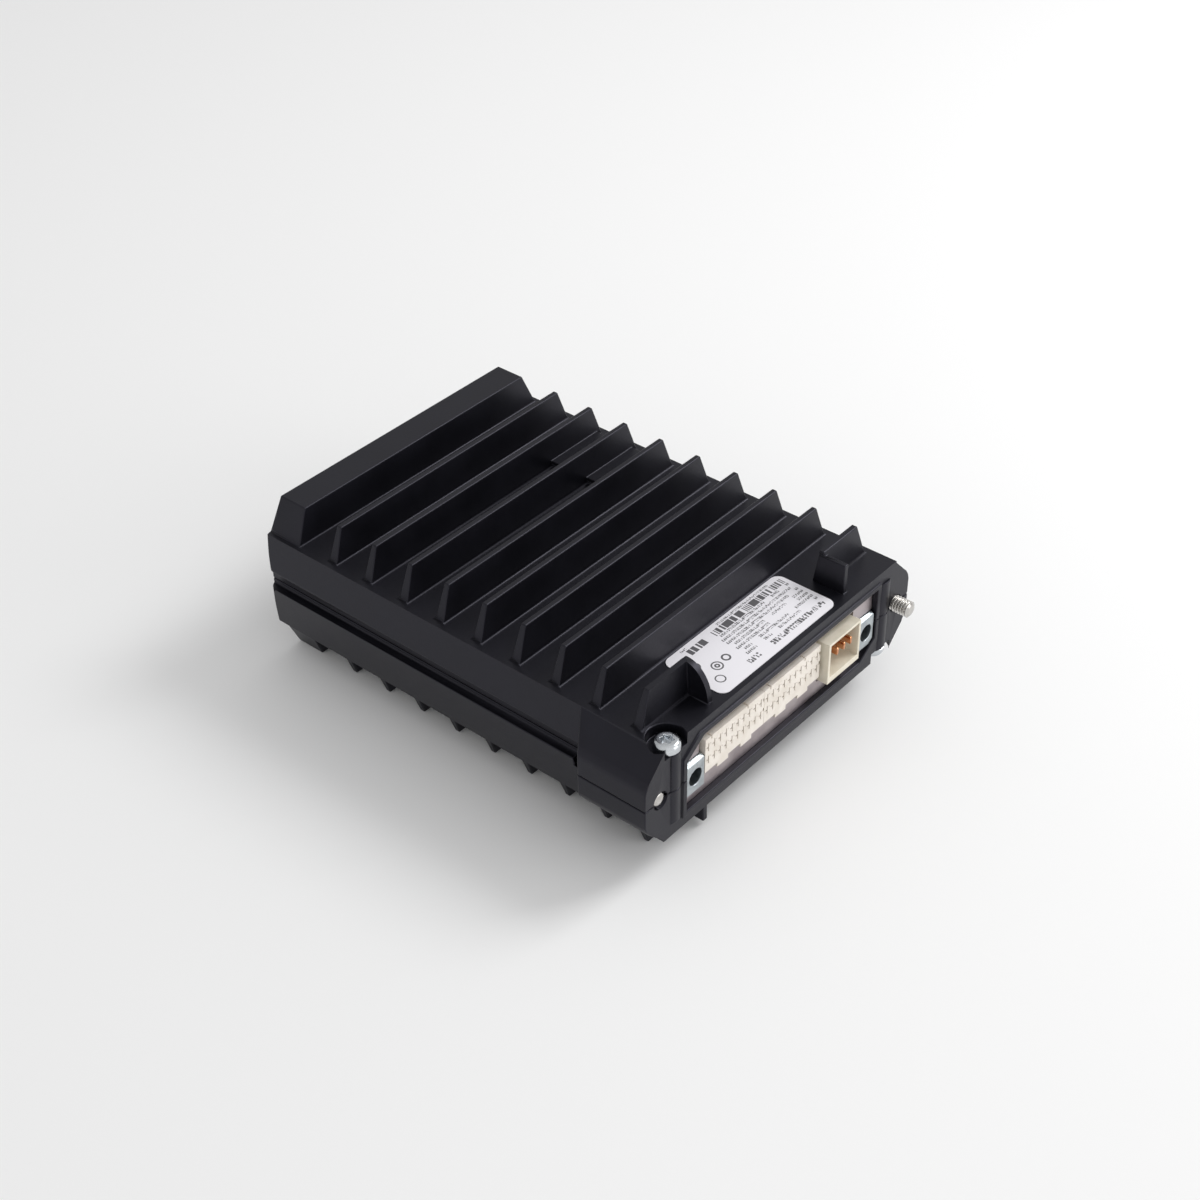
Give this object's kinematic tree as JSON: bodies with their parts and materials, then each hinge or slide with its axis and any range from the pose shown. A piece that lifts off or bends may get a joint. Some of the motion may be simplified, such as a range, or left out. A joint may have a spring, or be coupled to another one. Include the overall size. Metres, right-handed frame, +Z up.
{
  "type": "plug-in control module",
  "caption": "Finned die-cast plug-in control module with a blind-mate connector window, guide sockets and captive mounting bolts.",
  "frame": {"origin": "bottom centre of the whole object, on the surface that the lower fins and the end bar stand on", "axes": "+X along the fins and along the connector, +Y from the connector end to the end bar, +Z up; the parting plane is level at z = 0.021"},
  "size_m": [0.0946, 0.1216, 0.042],
  "materials": {
    "cast_black": "satin black coating over a die casting",
    "zinc_plate": "bright zinc plating",
    "steel": "plain bright steel",
    "shield_metal": "satin plated sheet",
    "receptacle_plastic": "moulded ivory glass-filled plastic",
    "header_plastic": "moulded cream glass-filled plastic",
    "copper": "bright copper alloy blades",
    "guide_metal": "plated zinc die casting",
    "label_film": "matt white film with grey print",
    "board": "green solder mask over glass laminate",
    "chip_plastic": "moulded black epoxy",
    "ferrite": "sintered ferrite, wound and varnished",
    "sleeve": "shrunk blue sleeve",
    "gap_pad": "soft grey silicone pad"
  },
  "bodies": {
    "root": {"upper_housing": "cast_black", "lower_housing": "cast_black", "housing_screw_upper": "zinc_plate", "housing_screw_lower": "zinc_plate", "connector_shield": "shield_metal", "signal_receptacle_1": "receptacle_plastic", "signal_receptacle_2": "receptacle_plastic", "power_header": "header_plastic", "power_blade_1": "copper", "power_blade_2": "copper", "power_blade_3": "copper", "guide_socket_left": "guide_metal", "guide_socket_right": "guide_metal", "rating_label": "label_film", "control_board": "board", "power_board": "board", "processor": "chip_plastic", "memory_chip": "chip_plastic", "interface_chip_1": "chip_plastic", "interface_chip_2": "chip_plastic", "board_link": "chip_plastic", "power_inductor": "ferrite", "power_thermal_pad": "gap_pad", "control_thermal_pad": "gap_pad", "control_board_screw_1": "steel", "power_board_screw_1": "steel", "power_transistor_1": "chip_plastic", "control_board_screw_2": "steel", "power_board_screw_2": "steel", "power_transistor_2": "chip_plastic", "control_board_screw_3": "steel", "power_board_screw_3": "steel", "power_transistor_3": "chip_plastic", "control_board_screw_4": "steel", "power_board_screw_4": "steel", "power_transistor_4": "chip_plastic", "filter_capacitor_1": "sleeve", "filter_capacitor_2": "sleeve", "filter_capacitor_3": "sleeve"},
    "left_bolt_carriage": {"bolt_washer_left": "zinc_plate"},
    "left_bolt": {"mounting_bolt_left": "steel"},
    "right_bolt_carriage": {"bolt_washer_right": "zinc_plate"},
    "right_bolt": {"mounting_bolt_right": "steel"}
  },
  "joints": [
    {"name": "left_bolt_slide", "type": "slide", "parent": "root", "child": "left_bolt_carriage", "axis": [0, -1, 0], "range_m": [0, 0.0046]},
    {"name": "left_bolt_turn", "type": "hinge", "parent": "left_bolt_carriage", "child": "left_bolt", "pos_m": [-0.0423, -0.04725, 0.021], "axis": [0, -1, 0], "continuous": true},
    {"name": "right_bolt_slide", "type": "slide", "parent": "root", "child": "right_bolt_carriage", "axis": [0, -1, 0], "range_m": [-0.0046, 0]},
    {"name": "right_bolt_turn", "type": "hinge", "parent": "right_bolt_carriage", "child": "right_bolt", "pos_m": [0.0423, -0.04725, 0.021], "axis": [0, -1, 0], "continuous": true}
  ]
}
